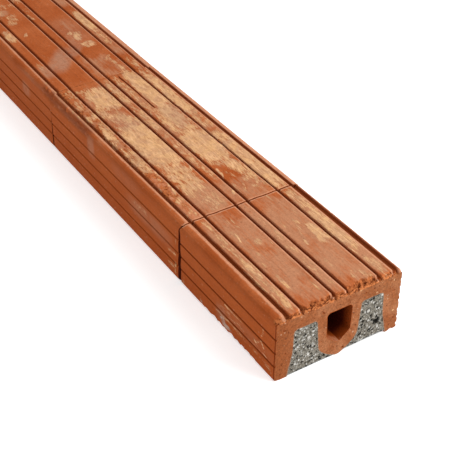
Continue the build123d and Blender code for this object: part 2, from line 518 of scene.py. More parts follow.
# Chips out of the feet, the side edges and the crown: distance from the front end, y, z and radius
CHIPS = [
    (29, -58.4, -1.6, 4.4), (36, -58.2, -1.4, 5.0), (43, -58.4, -1.4, 4.6), (51, -58.4, -1.6, 4.6),
    (59, -58.2, -0.8, 4.8), (69, -58.4, -1.8, 4.4), (76, -58.4, -1.4, 4.6), (84, -58.4, -1.0, 4.8),
    (88, -58.6, -1.6, 4.0), (96, -58.4, -1.6, 4.6), (103, -58.6, -1.6, 3.8), (144, 33.4, 60.4, 1.5),
    (150, 32.4, 60.5, 1.8), (157, 31.0, 60.6, 1.7), (163, 29.6, 60.6, 1.5), (147, 30, 60.7, 1.3),
    (118, -59.0, -1.2, 2.8), (133, -59.2, -0.8, 3.2), (138.5, -59.2, -1.0, 3.2), (150, -59.0, -1.2, 3.4),
    (160, -59.0, -1.4, 3.0), (205, -59.0, -1.4, 2.8), (262, -59.0, -1.6, 3.0), (384, -59.4, -0.8, 3.2),
    (389, -59.0, -1.0, 3.4), (320, -59.2, -1.4, 2.6), (450, -59.0, -1.4, 2.8), (-0.3, 59.7, 48, 2.2),
    (-0.3, 59.6, 40, 2.0), (-0.2, 59.4, 33, 2.2), (-0.3, 59.3, 27, 1.9), (-0.2, 59.4, 18, 2.4),
    (-0.3, 59.3, 11, 2.1), (-0.2, 59.6, 4, 2.6), (-0.4, 52, -1.0, 2.6), (-1.0, -58.8, 47, 1.9),
    (-1.0, -58.6, 29, 1.7), (-1.0, -58.8, 13, 1.8), (-1.0, 50, -1.2, 2.0), (-0.8, -56, 58.5, 2.4),
    (-1.0, -50, -1.2, 1.8), (-1.2, 45, 61.2, 1.8),
]
CHIP_BITES = [(Vector((FRONT - from_front, y, z)), radius) for from_front, y, z, radius in CHIPS]

# Pits in the sawn clay and voids in the sawn concrete: y, z, radius and depth
CLAY_PITS = [
    (-50, 47, 0.9, 0.8), (-15, 48, 0.9, 0.8), (-29, 54, 0.7, 0.6), (13, 35, 1.0, 0.8), (24, 50, 0.8, 0.7),
    (-48, 24, 0.8, 0.7), (-54, 33, 0.6, 0.5), (5, 5, 0.9, 0.8), (-4, 9, 0.7, 0.6), (51, 40, 0.8, 0.7),
    (53, 12, 0.9, 0.8), (-51, 14, 0.7, 0.6), (-35, 50, 0.6, 0.5), (8, 50, 0.6, 0.5), (47, 52, 0.7, 0.6),
    (16, 22, 0.7, 0.6), (-16, 20, 0.7, 0.6), (-13, 33, 0.6, 0.5), (-52, 5, 0.8, 0.7), (-24, 47, 0.6, 0.5),
]
CONCRETE_VOIDS = [
    (37.0, 15.8, 2.9, 3.2), (38.6, 17.4, 1.6, 2.4), (35.2, 14.8, 1.5, 2.2), (31.3, 24.0, 1.2, 1.6),
    (23.8, 21.4, 1.4, 1.8), (30.8, 10.0, 1.2, 1.6), (20.8, 9.4, 1.4, 1.8), (27.0, 37.5, 0.8, 1.0),
    (25.5, 16.5, 0.9, 1.2), (40.5, 28.0, 0.8, 1.0), (33.5, 31.5, 0.8, 1.0), (22.5, 31.0, 0.9, 1.1),
    (41.8, 36.0, 0.8, 1.0), (26.4, 6.6, 0.9, 1.1), (-16.6, 4.6, 1.3, 1.6), (-11.9, 5.0, 1.2, 1.5),
    (-16.2, 2.4, 1.0, 1.2), (-19.4, 33.4, 1.2, 1.5), (-20.0, 25.0, 1.0, 1.3), (-32.0, 33.5, 1.1, 1.3),
    (-28.0, 22.0, 0.8, 1.0), (-38.0, 27.5, 0.8, 1.0), (-24.5, 12.5, 0.9, 1.1), (-35.0, 14.5, 0.8, 1.0),
    (-30.0, 5.0, 0.9, 1.1), (-26.0, 39.0, 0.8, 1.0), (-37.5, 38.0, 0.8, 0.9),
]


def bitten(point, bites):
    """The point, pushed out of every ragged ball that bites into the piece, and how far it went."""
    start = point.copy()
    for centre, radius in bites:
        away = point - centre
        if away.length > radius * 1.3:
            continue
        reach = radius * (0.75 + 0.5 * ragged(point, 1.6, 3.0))
        if 0 < away.length < reach:
            point = centre + away * (reach / away.length)
    return point, (point - start).length


def pit_depth(pits, y, z):
    """How deep the pits go at a spot of a sawn face."""
    deepest = 0.0
    for pit_y, pit_z, radius, depth in pits:
        far = math.dist((y, z), (pit_y, pit_z))
        reach = radius * (0.75 + 0.5 * rough((y, z, 0), 1.4, 5.0))
        if far < reach:
            deepest = max(deepest, depth * math.sqrt(1 - (far / reach) ** 2))
    return deepest


def in_channel(level, z):
    """Whether a spot of the section lies on the channel wall, against the concrete."""
    return abs(level) < CHANNEL_REACH and z < CHANNEL_TOP + 0.5


def in_hollow(level, z):
    """Whether a spot of the section lies on the wall of the hollow."""
    return abs(level) < HOLLOW_REACH and HOLLOW_FLOOR < z < HOLLOW_ROOF


def at_side(level):
    """Whether a spot of the section lies at the side of the lintel."""
    return abs(level) > HALF_WIDTH - SIDE_DEPTH


def edge_loss(joint, level, z):
    """How much of a shell's end edge has broken away at a spot of its outline."""
    spot = (level, z, 0)
    if joint == 0:
        return 0.3 + 0.6 * ragged(spot, 3.0, 1.0) ** 2
    if joint == 2:
        return 0.3 + 0.5 * ragged(spot, 5.0, 2.0) ** 2 if at_side(level) and z < 42 else 0.05
    if at_side(level):
        return 0.35 + 0.9 * ragged(spot, 5.0, joint * 7.0) ** 2
    return 0.3 + 0.6 * ragged(spot, 4.0, joint * 7.0) ** 2


def joint_gain(joint, level, z):
    """How far past its end plane a shell reaches, where clay and dust close the joint."""
    if joint == 2:
        return -0.35 + 0.77 * eased(z, 40, 44) if at_side(level) else 0.3
    if joint == 1:
        return 0.2 - 1.35 * eased(abs(level), HALF_WIDTH - 6, HALF_WIDTH - 1) * eased(TOP - z, 4, 11)
    return 0.0


def side_swing(number, from_front, level, z):
    """How far the sides of a shell stand out past its lay. The left one splays toward its foot."""
    right = eased(level, 36, 54)
    left = eased(-level, 36, 54)
    low = 1 - eased(z, 6, 50)
    splay = lay(FRONT - from_front) + 0.9
    if number == 0:
        return 0.9 * right - splay * (0.35 + 0.65 * low) * left
    if number == 1:
        return (0.25 + 0.65 * eased(from_front, 230, 384)) * right - splay * low * left
    if number == 2:
        return -0.25 * (1 - eased(from_front, 386, 440)) * right - splay * low * left
    return -splay * low * left


def rim_lift(number, level):
    """How far the right rim of the first shell stands above the CAD model."""
    return 0.7 * eased(level, 50.3, 52.0) if number == 0 else 0.0


def rim_broken(from_front, level, z, point):
    """How far the left rim is broken away outside its lip, on either side of the second joint."""
    if level > -51.5 or z < 50:
        return 0.0
    length = eased(from_front, 296, 312) * (1 - eased(from_front, 396, 425))
    patchy = eased(ragged((point.x / 1.6, point.y, z), 4.2, 6.8), 0.34, 0.46)
    return length * patchy * eased(-level, 51.6, 53.4) * (1 - eased(TOP - z, 5.5, 9.0))


def lip_drop(level):
    """How far the rims fall away to the outside, and the lips on the left of the grooves round over."""
    drop = (0.055 if level < 0 else 0.02) * max(abs(level) - 51.2, 0.0) ** 2
    for groove, width in GROOVES:
        before = groove - width / 2 - level
        if 0 <= before < 1.6:
            drop = max(drop, 0.32 * (1 - before / 1.6) ** 2)
    return drop


def joint_bend(from_front, level, z):
    """How far back the first joint lies down the left side, past the corner of the crown."""
    near = 1 - eased(abs(from_front - FIRST_JOINT), 3.0, 20.0)
    waver = 0.9 * noise.noise(Vector((level / 8, z / 8, 3.3)))
    return near * (2.6 * eased(-level, 46, 57) * eased(TOP - z, 0.5, 8.0) + waver)


def keel_swell(level, z):
    """How far out and down the flanks of the keel swell, in clay and concrete alike."""
    run = KEEL_SHOULDER[0] - KEEL_FOOT[0]
    fall = KEEL_SHOULDER[1] - KEEL_FOOT[1]
    toward_foot = (KEEL_SHOULDER[0] - abs(level)) * run + (KEEL_SHOULDER[1] - z) * fall
    along = toward_foot / (run ** 2 + fall ** 2)
    off = abs((abs(level) - KEEL_FOOT[0]) * fall - z * run) / math.hypot(run, fall)
    if not 0 < along < 1 or off > 5:
        return 0.0, 0.0
    swell = math.sin(math.pi * along) * (1 - eased(off, 1.0, 5.0))
    return math.copysign(0.56 * swell, level), -0.83 * swell


def groove_shift(number, level):
    """How far aside of the CAD model a spot of the crown lies, as its grooves were pressed and drawn in."""
    edges = [groove + side * width / 2 for groove, width in GROOVES for side in (1, -1)]
    outermost = HALF_WIDTH - SIDE_DEPTH
    marks = [(outermost, 0.0), *zip(edges, EDGE_DRIFT[number]), (-outermost, 0.0)]
    for (right, right_drift), (left, left_drift) in zip(marks, marks[1:]):
        if left <= level <= right:
            return left_drift + (right_drift - left_drift) * (level - left) / (right - left)
    return 0.0


class Spot:
    """A point of a shell's crown, sides, feet or ends: where it lies, and how far it is worn."""

    def __init__(self, number, rear, front, point, outward, on_end):
        self.number = number
        self.point = point
        self.outward = outward
        self.on_end = on_end
        self.x, self.y, self.z = point
        self.from_front = FRONT - self.x
        self.level = self.y - lay(self.x)
        near_front = self.x > (front + rear) / 2
        self.way = 1 if near_front else -1
        self.joint = number if near_front else number + 1
        self.sawn = self.joint in (0, len(SHELLS))
        self.from_end = 0.0 if on_end else abs((front if near_front else rear) - self.x)
        self.crown = self.z > TOP - CROWN_DEPTH and abs(self.level) < HALF_WIDTH - 1.2
        self.off_groove = min(abs(self.level - groove) / width for groove, width in GROOVES)
        self.place = point.copy()
        self.torn = 0.0
        self.broken = 0.0
        self.pit = 0.0
        self.moved = 0.0


def score_mark(spot, core, edge):
    """How strongly the line scored along shell 1 marks a spot: fully within core, not past edge."""
    if spot.number != 1:
        return 0.0
    along = eased(spot.from_front, 309, 312) * (1 - eased(spot.from_front, 380, 386))
    waver = 0.35 * noise.noise(Vector((spot.x / 9, 1.7, 0)))
    return along * (1 - eased(abs(spot.level - SCORE_LEVEL - waver), core, edge))


def hollow_with_painted_light(point, level, outward):
    """A point of the hollow: painted shade inside, and painted light low on the left near its mouths."""
    mouth = FRONT - abs(point.x)
    pressed = 0.12 * rough(point, 9, 2.0)
    # Painted light on the floor near the mouths, and painted shade growing darker deeper in
    if point.z < 22.5 and level < 1:
        paints = {"crease": 1.7 * eased(mouth, 5.0, 20.0), "highlight_and_rub": 0.45 * (1 - eased(mouth, 3.0, 12.0))}
    else:
        paints = {"crease": 1.7 * (0.3 + 0.7 * eased(mouth, 0.0, 13.0))}
    return point - outward * pressed, paints


def worn_channel(point, level):
    """A point of the channel wall, against the concrete."""
    out, down = keel_swell(level, point.z)
    at_saw = 1.0 if FRONT - abs(point.x) < 0.01 else 0.0
    return point + Vector((0, out, down)), {"sawn": at_saw, "seam": at_saw}


def break_edge(spot, depth, outward):
    """Breaks the end edge of a shell away at a spot that lies so deep behind it."""
    loss = edge_loss(spot.joint, spot.level, spot.z)
    if depth < loss:
        move = (loss - depth) / 2
        spot.place.x -= move * spot.way
        spot.place -= outward * move
        spot.torn = max(spot.torn, 0.6)


def wear_end(spot):
    """Wears an end face: its unevenness, its broken edge, and pits where the front was sawn."""
    out, down = keel_swell(spot.level, spot.z)
    spot.place += Vector((0, out, down))
    if spot.joint == 0:
        spot.pit = pit_depth(CLAY_PITS, spot.level, spot.z)
        spot.torn = min(spot.pit, 1.0)
        spot.place -= spot.outward * (0.3 * ragged(spot.point, 1.8, 4.0))
        spot.place.x -= spot.pit
    else:
        spot.place -= spot.outward * (0.5 * ragged(spot.point, 7, 4.0))
    below_top = TOP - spot.z
    from_side = HALF_WIDTH - abs(spot.level)
    if below_top < from_side:
        break_edge(spot, below_top, Vector((0, 0, 1)))
    else:
        break_edge(spot, from_side, Vector((0, math.copysign(1, spot.level), 0)))


def wear_crown(spot):
    """Wears the crown: rough strips, the rims and lips, and the marks that only shell 1 has."""
    near_groove = 1.0 - eased(spot.off_groove, 0.5, 0.9)
    furrows = ragged((spot.x / 3, spot.y, spot.z), 3.0, spot.number + 2.0)
    spot.place -= spot.outward * 0.28 * near_groove * furrows
    lift = rim_lift(spot.number, spot.level) - lip_drop(spot.level)
    spot.place.z += lift * eased(spot.z, TOP - 2.2, TOP - 1.4)
    if spot.number != 1:
        return
    if -48 < spot.level < -36:
        tear = ragged((spot.x / 1.5, spot.y, spot.z), 3.6, 6.0)
        amount = eased(tear, 0.42, 0.6) * eased(spot.from_front, 145, 175)
        spot.place.z -= 0.9 * amount * ragged(spot.point, 2.0, 6.5)
        spot.torn = 0.75 * amount
    spot.place.z -= 1.1 * score_mark(spot, 0.25, 0.85)
    aside = spot.level - GROOVES[1][0]
    if abs(aside) < 4:
        spot.place.y -= 0.15 * aside * (1 - eased(abs(aside), 1.8, 3.6))
        spot.place.y += 0.55 * noise.noise(Vector((spot.x / 11, 4.1, 0)))


def wear_skin(spot):
    """Wears the crown, sides and feet: broad unevenness, drag lines, and broken rim and end edges."""
    broad = 0.22 * rough(spot.point, 42, spot.number)
    drag_lines = 0.05 * rough((spot.x / 40, spot.y, spot.z), 1.4, 8.0)
    spot.place -= spot.outward * (broad + drag_lines)
    if spot.crown:
        wear_crown(spot)
    spot.broken = rim_broken(spot.from_front, spot.level, spot.z, spot.point)
    spot.place -= spot.outward * 1.9 * spot.broken * (0.3 + 0.7 * ragged(spot.point, 2.0, 6.9))
    if spot.crown or abs(spot.level) > HALF_WIDTH - 5:
        break_edge(spot, spot.from_end, spot.outward)


def tear_front(spot):
    """Sinks the crown of the first shell where the saw tore its edge."""
    if spot.number > 0 or spot.z <= 54:
        return
    sunk = torn_away(spot.level, spot.from_front)
    spot.place.z -= sunk * eased(spot.z, 54, 58.5)
    if sunk > 0.15 and spot.z > TOP - 4:
        spot.torn = max(spot.torn, min(0.55 + 0.25 * sunk, 1.0))


def in_open_joint(spot):
    """Whether a spot lies in a joint that gets painted shade. Clay closes joint 2, except low on the sides.
    """
    if spot.sawn or (spot.joint == 2 and not (at_side(spot.level) and spot.z < 43)):
        return False
    wide_open = spot.joint == 1 and at_side(spot.level) and spot.z < 54
    return spot.from_end < (0.9 if wide_open else 0.1)


def end_paints(spot):
    """Paints of an end face: a saw cut with pits in painted shade and pale chips, or painted shade between
    two shells.
    """
    if not spot.sawn:
        return {"crease": 1.0}
    paints = {"sawn": 1.0, "torn": spot.torn}
    if spot.joint == 0:
        paints["dust"] = patch_cover(END_CHIPS, spot.level, spot.z)
        paints["crease"] = min(1.4 * spot.pit, 1.0)
    return paints


def crown_painted_shade(spot):
    """How much painted shade darkens a spot of the crown: in its grooves, along the scored line and in the
    pits of the torn front edge.
    """
    gloom = (0.68 if abs(spot.level) > 44 else 1.0) * (0.8 if spot.number > 1 else 1.0)
    in_groove = eased(TOP - spot.z, 1.2, 2.7) * (1 - eased(spot.off_groove, 0.42, 0.7))
    crease = max(gloom * in_groove * (1 - spot.torn), score_mark(spot, 0.45, 1.0))
    if spot.number == 0 and spot.from_front < TEAR_REACH:
        crease = max(crease, 0.8 * eased(spot.moved, 0.5, 1.6))
    return crease


def crown_highlight_and_rub(spot, clear):
    """How pale a spot of the crown is painted: painted highlights on the rims, on the left lips of the
    grooves and at joint 1, and paler on the left strip of shell 1.
    """
    rim = 1 - eased(abs(abs(spot.level) - 52.0), 0.3, 1.2)
    from_lip = min(abs(groove - width / 2 - 0.7 - spot.level) for groove, width in GROOVES)
    highlight_and_rub = clear * max(0.8 * rim, 1 - eased(from_lip, 0.4, 1.1))
    if spot.number == 1 and -47 < spot.level < -37:
        highlight_and_rub = max(highlight_and_rub, 0.5 * (1 - eased(spot.from_front, 190, 240)) * (1 - spot.torn))
    # The right rim, toward the light, is painted pale all over as highlight
    if spot.level > 51.5:
        highlight_and_rub = max(highlight_and_rub, 0.75 * clear)
    # Painted highlight on the arrises either side of joint 1
    if spot.joint == 1:
        highlight_and_rub = max(highlight_and_rub, 0.7 * clear * (1 - eased(spot.from_end, 1.0, 2.6)))
    return highlight_and_rub


def crown_paints(spot):
    """Paints of the crown: painted shade in the grooves and on the left rim, film, haze, mortar dust, and
    painted highlights on the edges.
    """
    crease = crown_painted_shade(spot)
    clear = 1 - crease
    spread = (spot.from_front, spot.level)
    # Painted shade on the left rim, darker outward away from the light and under its broken lip, which also
    # gets a little haze tint
    left_rim_shade = max(0.22 * eased(-spot.level, 52.6, 56.0), 0.55 * spot.broken)
    return {
        "torn": spot.torn,
        "crease": max(crease, left_rim_shade),
        "dust": clear * patch_cover(CROWN_DUST, *spread),
        "film": clear * (1 - spot.torn) * patch_cover(CROWN_FILM, *spread),
        "haze": max(clear * patch_cover(CROWN_HAZE, *spread), 0.12 * spot.broken),
        "highlight_and_rub": crown_highlight_and_rub(spot, clear),
    }


def side_paints(spot):
    """Paints of the sides: painted shade in the comb lines, at the foot, below the left shoulder, under the
    broken rim and along the sawn end, pale rubs and splashes, and lime on the left.
    """
    left = spot.level < 0
    dust, haze, lime = (SIDE_DUST, SIDE_HAZE, SIDE_LIME) if left else (RIGHT_DUST, RIGHT_HAZE, [])
    spread = (spot.from_front, spot.z)
    comb = 1 - eased(min(abs(spot.z - line) for line in COMB_LINES), 0.35, 1.0)
    comb *= 0.95 if spot.number == 0 else 0.75
    # Painted shade below the left shoulder, on the side away from the light, and along the foot
    shoulder = 0.22 * eased(spot.z, 49.5, 55.0) if left else 0.0
    foot = 0.4 * (1 - eased(spot.z, 0.8, 2.4))
    crease = max(comb, shoulder, foot, 0.55 * spot.broken)
    return {
        "torn": spot.torn,
        # Painted shade along the sawn end of the side
        "crease": 1.0 if spot.from_front < 1.0 else crease,
        "dust": patch_cover(dust, *spread),
        "haze": max(0.7 * patch_cover(haze, *spread), 0.12 * spot.broken),
        "lime": patch_cover(lime, *spread),
    }


def clay_paints(spot):
    """The paint values of a spot, by name."""
    if in_open_joint(spot):
        # Painted shade in the open joints: darkest on the end faces and down the sides, lighter along the
        # crown
        if spot.on_end or not spot.crown:
            return {"crease": 1.6}
        return {"crease": 0.5 if spot.joint == 1 else 0.6}
    if spot.on_end:
        return end_paints(spot)
    if spot.crown:
        return crown_paints(spot)
    if at_side(spot.level):
        return side_paints(spot)
    return {"torn": spot.torn}


def clay_shape(number, rear, front):
    """How a point of a shell is worn: broad unevenness, drag lines, torn spots, chips and pits."""
    bites = CHIP_BITES + FRONT_BITES if number == 0 else CHIP_BITES
    bites = [bite for bite in bites if rear - 6 < bite[0].x < front + 6]

    def shape(point, outward, on_end):
        level = point.y - lay(point.x)
        if not on_end and in_hollow(level, point.z):
            return hollow_with_painted_light(point, level, outward)
        if not on_end and in_channel(level, point.z):
            return worn_channel(point, level)
        spot = Spot(number, rear, front, point, outward, on_end)
        if on_end:
            wear_end(spot)
        else:
            wear_skin(spot)
        if spot.z > 50:
            spot.place.y += groove_shift(number, level) * eased(spot.z, 50, 56)
        spot.place.y += side_swing(number, spot.from_front, level, spot.z)
        tear_front(spot)
        place, spot.moved = bitten(spot.place, bites)
        spot.torn = max(spot.torn, min(spot.moved * 1.4, 1.0))
        place.x = min(max(place.x, rear), front)
        place.y = min(max(place.y, -SIDE_LIMIT), SIDE_LIMIT)
        if not spot.sawn:
            near_end = 1 - eased(spot.from_end, 0.0, 6.0)
            place.x += joint_gain(spot.joint, level, spot.z) * near_end * spot.way
        place.x -= joint_bend(spot.from_front, level, spot.z)
        return place, clay_paints(spot)

    return shape


def core_end_depth(point, level, z):
    """How deep the front end of a core is at a spot: its voids, and the gap that tore round the wire."""
    depth = pit_depth(CONCRETE_VOIDS, level, z)
    if 1.6 < math.dist((level, z), WIRE_PLACE) < 2.5:
        depth = max(depth, 0.9 * ragged(point, 1.2, 2.0))
    return depth


def concrete_shape(recess):
    """How a point of a concrete core is worn: rough underside, sawn ends with voids."""
    def shape(point, outward, on_end):
        x, y, z = point
        level = y - lay(x)
        out, down = keel_swell(level, z)
        point = point + Vector((0, out, max(down, recess - z)))
        if on_end:
            depth = core_end_depth(point, level, z) if on_end > 0 else 0.0
            grain = 0.35 * ragged(point, 1.3, 9.0)
            # The pit value marks voids and the gap round the wire, which the concrete darkens as painted
            # shade
            paints = {"pit": min(depth / 0.8, 1.0), "paste": 1 - eased(z - recess, 0.8, 2.0)}
            return point - outward * (0.05 + grain + depth), paints
        if z < recess + 0.6:
            cast = 0.9 * ragged(point, 11.0, 2.0) + 0.3 * rough(point, 3.0, 1.0)
            at_saw = FRONT - abs(x) < 1.0
            paints = {"pit": eased(ragged(point, 3.0, 7.0), 0.68, 0.78), "paste": 1.0 if at_saw else 0.4}
            return point + Vector((0, 0, cast)), paints
        return point, {}

    return shape


# Node helpers

def put(tree, kind, inputs=None, **settings):
    """A new node with its settings, each input linked to a socket or set to a value."""
    made = tree.nodes.new(kind)
    for name, value in settings.items():
        setattr(made, name, value)
    for name, value in (inputs or {}).items():
        if isinstance(value, bpy.types.NodeSocket):
            tree.links.new(value, made.inputs[name])
        else:
            made.inputs[name].default_value = value
    return made


def maths(tree, operation, first, second, clamp=False):
    """The result of a Math node."""
    inputs = {0: first, 1: second}
    return put(tree, "ShaderNodeMath", inputs, operation=operation, use_clamp=clamp).outputs["Value"]


def plus(tree, total, *others):
    """The sum of two or more values."""
    for other in others:
        total = maths(tree, "ADD", total, other)
    return total


def times(tree, product, *others):
    """The product of two or more values."""
    for other in others:
        product = maths(tree, "MULTIPLY", product, other)
    return product


def rise(tree, value, low, high):
    """A smooth rise from 0 at low to 1 at high."""
    inputs = {"Value": value, "From Min": low, "From Max": high}
    return put(tree, "ShaderNodeMapRange", inputs, interpolation_type="SMOOTHSTEP").outputs["Result"]


def cloud(tree, place, scale, detail, **more):
    """Cloudy noise from 0 to 1."""
    inputs = {"Vector": place, "Scale": scale, "Detail": detail, **more}
    return put(tree, "ShaderNodeTexNoise", inputs).outputs["Fac"]


def scaled(tree, place, shares):
    """A place with its lengths along X, Y and Z multiplied."""
    inputs = {0: place, 1: shares}
    return put(tree, "ShaderNodeVectorMath", inputs, operation="MULTIPLY").outputs["Vector"]


def mixed(tree, share, first, second, blend="MIX"):
    """Two colours mixed by a share."""
    made = put(tree, "ShaderNodeMix", data_type="RGBA", blend_type=blend, clamp_factor=True)
    for name, value in (("Factor_Float", share), ("A_Color", first), ("B_Color", second)):
        socket = next(one for one in made.inputs if one.identifier == name)
        if isinstance(value, bpy.types.NodeSocket):
            tree.links.new(value, socket)
        else:
            socket.default_value = value
    return next(one for one in made.outputs if one.identifier == "Result_Color")


def coated(tree, colour, cover, strength, coat):
    """A colour under a coat that lies where the cover is, and hides it by up to its strength."""
    return mixed(tree, times(tree, cover, strength), colour, coat)


def toned(tree, colour, shade):
    """A colour made lighter or darker by a shade about 1."""
    grey = put(tree, "ShaderNodeCombineColor", {"Red": shade, "Green": shade, "Blue": shade})
    return mixed(tree, 1.0, colour, grey.outputs["Color"], "MULTIPLY")


def painted(tree, name):
    """The value painted on the mesh under that name."""
    return put(tree, "ShaderNodeAttribute", attribute_name=name).outputs["Fac"]


def tint(red, green, blue):
    """A colour with full alpha."""
    return (red, green, blue, 1.0)


def effect(name, inputs, outputs):
    """A new shader node group with its two ends. The inputs are values by name, and None for a place."""
    group = bpy.data.node_groups.new(name, "ShaderNodeTree")
    for label, value in inputs.items():
        kind = "NodeSocketVector" if value is None else "NodeSocketFloat"
        socket = group.interface.new_socket(label, in_out="INPUT", socket_type=kind)
        if value is not None:
            socket.default_value = value
    for label in outputs:
        group.interface.new_socket(label, in_out="OUTPUT", socket_type="NodeSocketFloat")
    return group, group.nodes.new("NodeGroupInput").outputs, group.nodes.new("NodeGroupOutput").inputs


def use(tree, group, **inputs):
    """The outputs of a group placed in a material with its own values."""
    return put(tree, "ShaderNodeGroup", inputs, node_tree=group).outputs


# Effects that several materials share

def make_grain():
    """Fine unevenness of fired or cast stuff: a shade about 1, and a height in millimetres."""
    inputs = {"Place": None, "Size": 1.0, "Contrast": 0.3, "Height": 0.1}
    group, given, made = effect("Grain", inputs, ["Shade", "Height"])
    scale = maths(group, "DIVIDE", 1.0, given["Size"])
    value = cloud(group, given["Place"], scale, 4.0, Roughness=0.65)
    centred = maths(group, "SUBTRACT", value, 0.5)
    shade = plus(group, 1.0, times(group, centred, given["Contrast"]))
    group.links.new(shade, made["Shade"])
    group.links.new(times(group, centred, given["Height"]), made["Height"])
    return group


def make_specks():
    """Spots strewn through the stuff, such as pores or sand grains: where they are, and a tone for each."""
    inputs = {"Place": None, "Spacing": 2.0, "Radius": 0.5, "Share": 0.3}
    group, given, made = effect("Specks", inputs, ["Mask", "Tone"])
    warp = put(group, "ShaderNodeTexNoise", {"Vector": given["Place"], "Scale": 0.8, "Detail": 1.0})
    nudge = scaled(group, warp.outputs["Color"], (0.45, 0.45, 0.45))
    place = put(group, "ShaderNodeVectorMath", {0: given["Place"], 1: nudge}, operation="ADD")
    scale = maths(group, "DIVIDE", 1.0, given["Spacing"])
    inputs = {"Vector": place.outputs["Vector"], "Scale": scale, "Randomness": 1.0}
    cells = put(group, "ShaderNodeTexVoronoi", inputs).outputs
    chance = put(group, "ShaderNodeSeparateColor", {"Color": cells["Color"]}).outputs
    size = times(group, given["Radius"], scale, chance["Green"])
    spot = maths(group, "SUBTRACT", 1.0, rise(group, cells["Distance"], times(group, size, 0.6), size))
    chosen = maths(group, "LESS_THAN", chance["Red"], given["Share"])
    group.links.new(times(group, spot, chosen), made["Mask"])
    group.links.new(chance["Blue"], made["Tone"])
    return group


def make_settled():
    """A thin coat, thick or thin by a painted cover, in patches and streaks: things settled on a surface,
    and painted highlights.
    """
    inputs = {"Place": None, "Cover": 0.0, "Size": 6.0, "Break": 0.6, "Streak": 0.5}
    group, given, made = effect("Settled", inputs, ["Mask"])
    swings = []
    for stretch, divisor, amount in ((0.5, 1.0, given["Break"]), (0.16, 5.0, given["Streak"])):
        scale = maths(group, "DIVIDE", divisor, given["Size"])
        along = scaled(group, given["Place"], (stretch, 1.0, 1.0))
        patchy = maths(group, "SUBTRACT", cloud(group, along, scale, 4.0, Roughness=0.6), 0.5)
        swings.append(times(group, patchy, times(group, amount, 2.4)))
    there = rise(group, given["Cover"], 0.02, 0.25)
    cover = rise(group, plus(group, given["Cover"], plus(group, *swings)), 0.2, 0.8)
    group.links.new(times(group, cover, there), made["Mask"])
    return group


GRAIN = make_grain()
SPECKS = make_specks()
SETTLED = make_settled()


# Materials

def new_material(name):
    """An empty material: its tree, its shader, and the place of a spot in millimetres."""
    material = bpy.data.materials.new(name)
    material.use_nodes = True
    tree = material.node_tree
    shader = tree.nodes["Principled BSDF"]
    coordinates = put(tree, "ShaderNodeTexCoord").outputs["Object"]
    place = scaled(tree, coordinates, (1000.0, 1000.0, 1000.0))
    return material, tree, shader, place


def finish_shader(tree, shader, colour, roughness, height):
    """Links the colour, roughness and height in millimetres to the shader."""
    bump = put(tree, "ShaderNodeBump", {"Height": height, "Distance": 0.001, "Strength": 1.0})
    tree.links.new(colour, shader.inputs["Base Color"])
    tree.links.new(roughness, shader.inputs["Roughness"])
    tree.links.new(bump.outputs["Normal"], shader.inputs["Normal"])


def fired_skin(tree, place, height):
    """The fired skin of the clay: flashed tones on the crown, and a deeper red down the sides."""
    flash = cloud(tree, place, 1 / 34, 4.0)
    crown = mixed(tree, rise(tree, flash, 0.32, 0.68), tint(0.395, 0.086, 0.019), tint(0.475, 0.125, 0.037))
    down = rise(tree, height, 50.0, 4.0)
    side = mixed(tree, down, tint(0.378, 0.080, 0.0145), tint(0.352, 0.066, 0.0085))
    side = coated(tree, side, rise(tree, flash, 0.35, 0.65), 0.12, tint(0.5, 0.13, 0.03))
    return mixed(tree, rise(tree, height, 58.0, 53.0), crown, side)


def sawn_clay(tree, blotch, across, height):
    """The sawn clay: blotched, and duller at its left side; its upper right corner is painted duller as
    shade.
    """
    cut = mixed(tree, rise(tree, blotch, 0.3, 0.7), tint(0.27, 0.082, 0.027), tint(0.345, 0.132, 0.056))
    cut = mixed(tree, rise(tree, across, -28.0, -56.0), cut, tint(0.255, 0.073, 0.022))
    # Painted shade darkens the upper right corner, which the key light strikes hardest
    corner = times(tree, rise(tree, across, 12.0, 34.0), rise(tree, height, 40.0, 50.0))
    return coated(tree, cut, corner, 0.35, tint(0.25, 0.085, 0.028))


def mortar_dust(tree, place, blotch):
    """Sandy mortar dust, wiped along the lintel in pale and dark streaks."""
    dusty = mixed(tree, rise(tree, blotch, 0.35, 0.65), tint(0.60, 0.332, 0.18), tint(0.74, 0.42, 0.195))
    streaks = cloud(tree, scaled(tree, place, (0.16, 0.8, 1.0)), 0.4, 3.0, Distortion=1.2)
    dusty = mixed(tree, rise(tree, streaks, 0.48, 0.7), dusty, tint(0.84, 0.50, 0.26))
    return mixed(tree, rise(tree, streaks, 0.46, 0.3), dusty, tint(0.54, 0.275, 0.135))


def clay_coats(tree, place, blotch, colour):
    """The clay's colour under all that settled on it and under the painted highlights, and where the dust
    lies.
    """
    def settled(name, size, broken, streaked):
        inputs = {"Place": place, "Cover": painted(tree, name), "Size": size}
        return use(tree, SETTLED, Break=broken, Streak=streaked, **inputs)["Mask"]

    dust = settled("dust", 4.5, 0.7, 0.9)
    haze = times(tree, painted(tree, "haze"), rise(tree, blotch, 0.1, 0.55))
    for cover, strength, coat in (
        (settled("film", 12.0, 0.5, 0.35), 0.88, tint(0.50, 0.225, 0.118)),
        # Painted highlights on rims, lips and joint 1 and painted light in the hollow, with some rubbing,
        # in a pale pink
        (settled("highlight_and_rub", 5.0, 0.25, 0.25), 0.8, tint(0.64, 0.30, 0.17)),
        (dust, 0.88, mortar_dust(tree, place, blotch)),
        (haze, 1.0, tint(0.45, 0.255, 0.165)),
        (settled("lime", 3.0, 0.8, 0.3), 0.85, tint(0.50, 0.38, 0.30)),
        (settled("seam", 2.2, 0.8, 0.0), 0.7, tint(0.26, 0.20, 0.145)),
    ):
        colour = coated(tree, colour, cover, strength, coat)
    return colour, dust


